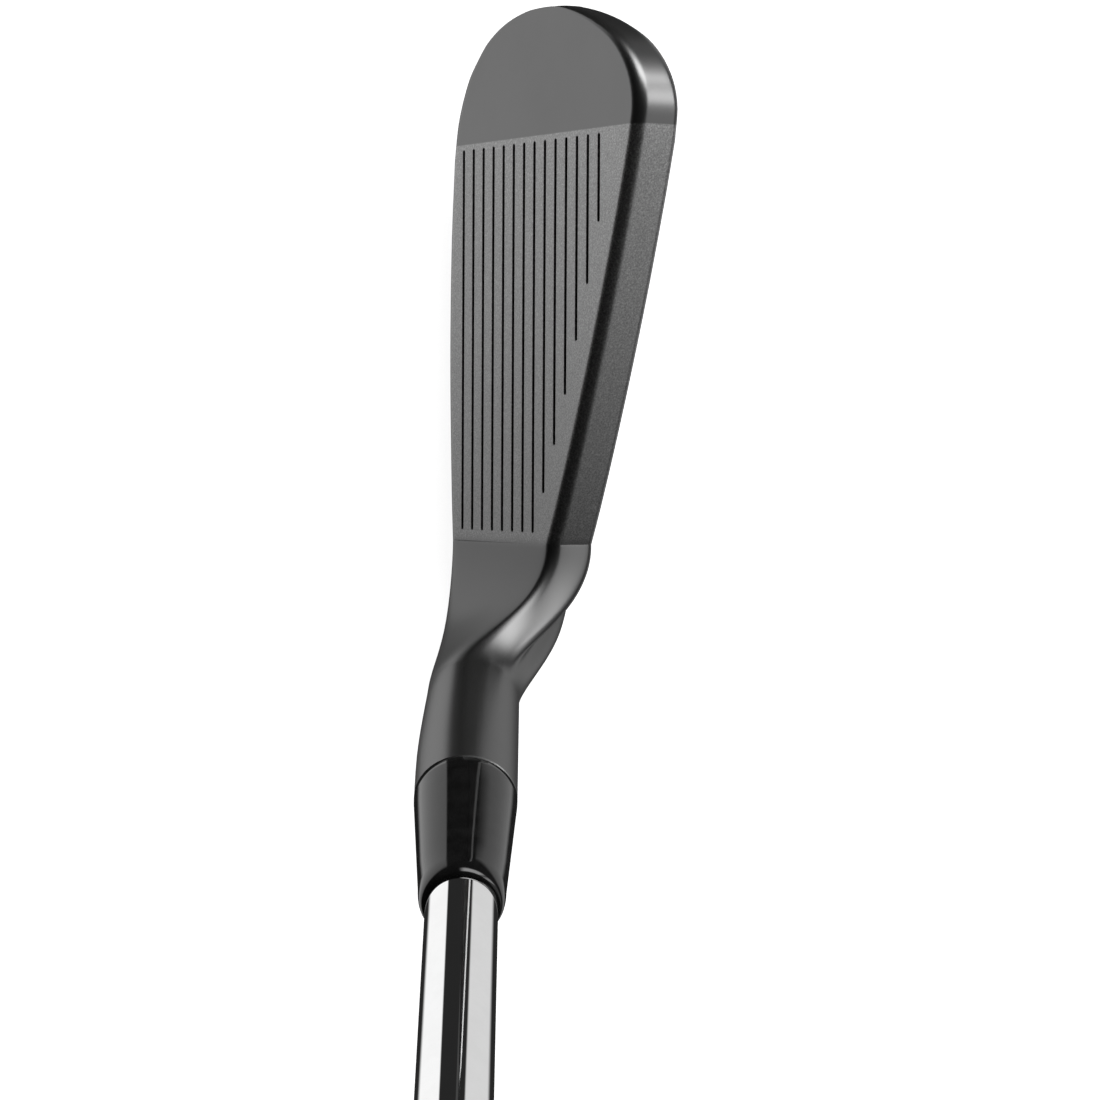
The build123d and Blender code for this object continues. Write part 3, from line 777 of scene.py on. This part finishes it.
# ======== shaft, ferrule, band, grip ========
def shaft_profile():
    step_radius = SHAFT_AT_FERRULE + SHAFT_TIP_SLOPE * (FIRST_STEP - HOSEL_TOP - FERRULE_LENGTH)
    rise = (SHAFT_BUTT_RADIUS - step_radius) / STEP_COUNT
    start = HOSEL_TOP - 20.0
    rows = [(start, SHAFT_AT_FERRULE - SHAFT_TIP_SLOPE * (HOSEL_TOP + FERRULE_LENGTH - start))]
    for k in range(STEP_COUNT):
        at = FIRST_STEP + k * STEP_PITCH
        rows.append((at, step_radius + k * rise))
        rows.append((at + STEP_LENGTH, step_radius + (k + 1) * rise))
    rows.append((CLUB_LENGTH - CAP_THICKNESS - 2.0, SHAFT_BUTT_RADIUS))
    return rows


shaft = lathe("chrome_shaft", shaft_profile(), "shaft", 60.0)
dress(shaft, chrome)

ferrule_top = HOSEL_TOP + FERRULE_LENGTH
ferrule_profile = [(HOSEL_TOP + 0.02, 5.0), (HOSEL_TOP + 0.02, HOSEL_RADIUS - 0.16),
                   (HOSEL_TOP + 0.2, HOSEL_RADIUS), (HOSEL_TOP + 1.2, HOSEL_RADIUS - 0.02)]
nose_start = ferrule_top - 3.6
for k in range(1, 7):
    t = k / 6
    ferrule_profile.append((HOSEL_TOP + 1.2 + (nose_start - HOSEL_TOP - 1.2) * t,
                            HOSEL_RADIUS - 0.02 + (FERRULE_END_RADIUS + 0.02 - HOSEL_RADIUS) * t))
for k in range(1, 13):
    angle = math.pi / 2 * k / 12
    ferrule_profile.append((nose_start + 3.5 * math.sin(angle),
                            SHAFT_AT_FERRULE - 0.1 + (FERRULE_END_RADIUS - SHAFT_AT_FERRULE + 0.1)
                            * math.cos(angle) ** 0.6))
ferrule = lathe("ferrule_collar", ferrule_profile, "ferrule", 50.0)
dress(ferrule, ferrule_black)

def grip_mesh():
    """A sleeve with a moulded crossing pattern, cut in from the plain tapered outline."""
    mouth = CLUB_LENGTH - GRIP_LENGTH
    end = CLUB_LENGTH - CAP_THICKNESS
    rings = []
    for i in range(GRIP_RINGS + 1):
        s = mouth + (end - mouth) * i / GRIP_RINGS
        outer = grip_radius(s)
        lead_in = min(1.0, max(0.0, (s - mouth - PATTERN_START) / PATTERN_FADE))
        lead_out = min(1.0, max(0.0, (end - PATTERN_STOP - s) / PATTERN_FADE))
        ring = []
        for k in range(GRIP_SEGMENTS):
            angle = 2 * math.pi * k / GRIP_SEGMENTS
            first = abs(math.sin(0.5 * (s * PATTERN_RATE + PATTERN_STARTS * angle)))
            second = abs(math.sin(0.5 * (s * PATTERN_RATE - PATTERN_STARTS * angle)))
            groove = max(0.0, 1 - first / PATTERN_WIDTH) + max(0.0, 1 - second / PATTERN_WIDTH)
            depth = PATTERN_DEPTH * min(1.0, groove) * (lead_in * lead_out)
            if mouth + RIBS_START < s < mouth + RIBS_STOP:
                turn = 2 * math.pi * (s - mouth - RIBS_START) / RIB_PITCH
                depth += RIB_DEPTH * (0.5 - 0.5 * math.cos(turn))
            r = outer - depth
            ring.append(tuple(along * s + (toward_toe * math.cos(angle) + rearward * math.sin(angle)) * r))
        rings.append(ring)
    mesh = ring_mesh("grip", rings)
    mark_sharp(mesh, 60.0)
    return mesh


def grip_radius(s):
    mouth = CLUB_LENGTH - GRIP_LENGTH
    upper = CLUB_LENGTH - GRIP_UPPER_FROM_BUTT
    end = CLUB_LENGTH - CAP_THICKNESS
    if s < upper:
        return GRIP_MOUTH_RADIUS + (GRIP_UPPER_RADIUS - GRIP_MOUTH_RADIUS) * (s - mouth) / (upper - mouth)
    return GRIP_UPPER_RADIUS + (GRIP_CAP_RADIUS - GRIP_UPPER_RADIUS) * ((s - upper) / (end - upper)) ** 1.6


grip = new_object("grip", grip_mesh(), "grip_sleeve")
dress(grip, rubber)

for name, material in (("shaft_band", band_film), ("grip_cap", rubber),
                       ("back_badge", badge_metal), ("badge_adhesive", hidden_grey),
                       ("fill_port_screw", screw_steel), ("port_gasket", rubber),
                       ("foam_core", hidden_grey), ("hosel_epoxy", hidden_grey), ("tip_plug", brass),
                       ("toe_weight", tungsten), ("grip_tape", hidden_grey)):
    dress(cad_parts[name], material)

# ======== floor, light and camera ========
def make_floor():
    corners = [(-1, -1), (1, -1), (1, 1), (-1, 1)]
    mesh = bpy.data.meshes.new("floor")
    mesh.from_pydata([(x * FLOOR_REACH, y * FLOOR_REACH, FLOOR_HEIGHT) for x, y in corners],
                     [], [(0, 1, 2, 3)])
    floor = bpy.data.objects.new("floor", mesh)
    bpy.context.scene.collection.objects.link(floor)
    material, _, shader = new_material("pale_floor", (0.9, 0.9, 0.9), 0.0, 0.9)
    shader.inputs["Emission Color"].default_value = (1, 1, 1, 1)
    shader.inputs["Emission Strength"].default_value = 0.9
    floor.data.materials.append(material)
    floor.visible_glossy = False


def make_world():
    """Soft panels of light round the club by direction, near darkness between them, and plain white
    where the camera sees past the floor."""
    world = bpy.data.worlds.new("studio")
    bpy.context.scene.world = world
    world.use_nodes = True
    tree = world.node_tree
    background = tree.nodes["Background"]
    coordinates = tree.nodes.new("ShaderNodeTexCoord")
    axes = tree.nodes.new("ShaderNodeSeparateXYZ")
    tree.links.new(coordinates.outputs["Generated"], axes.inputs["Vector"])
    x, y, z = axes.outputs["X"], axes.outputs["Y"], axes.outputs["Z"]
    bearing = math_node(tree, "ARCTAN2", y, math_node(tree, "MULTIPLY", x, -1.0))

    def window(value, start, start_end, stop, stop_end):
        rise = range_node(tree, value, start, start_end)
        fall = range_node(tree, value, stop, stop_end, 1.0, 0.0)
        return math_node(tree, "MULTIPLY", rise, fall)

    def panel(strength, bearings, heights):
        shape = math_node(tree, "MULTIPLY", window(bearing, *[math.radians(a) for a in bearings]),
                          window(z, *heights))
        return math_node(tree, "MULTIPLY", shape, strength)

    panels = [panel(*row) for row in PANELS]
    total = 0.02
    for light in panels:
        total = math_node(tree, "ADD", light, total)
    seen = tree.nodes.new("ShaderNodeLightPath").outputs["Is Camera Ray"]
    tree.links.new(math_node(tree, "MAXIMUM", total, seen), background.inputs["Strength"])
    background.inputs["Color"].default_value = (1, 1, 1, 1)


def make_camera():
    """Almost straight above the head, the toe at the top of the picture."""
    tilts = [math.radians(a) for a in CAMERA_TILTS]
    turn = (Matrix.Rotation(tilts[0], 3, "X") @ Matrix.Rotation(tilts[1], 3, "Y")
            @ Matrix.Rotation(tilts[2], 3, "Z"))
    level = Matrix(((0, 1, 0), (-1, 0, 0), (0, 0, 1)))
    rows = turn @ level
    camera_data = bpy.data.cameras.new("camera")
    camera_data.sensor_width = 36.0
    camera_data.lens = CAMERA_LENS
    camera_data.clip_start = 0.02
    camera = bpy.data.objects.new("camera", camera_data)
    camera.matrix_world = Matrix.Translation(CAMERA_PLACE) @ rows.transposed().to_4x4()
    bpy.context.scene.collection.objects.link(camera)
    bpy.context.scene.camera = camera


make_floor()
make_world()
make_camera()
bpy.context.scene.view_settings.view_transform = "Standard"
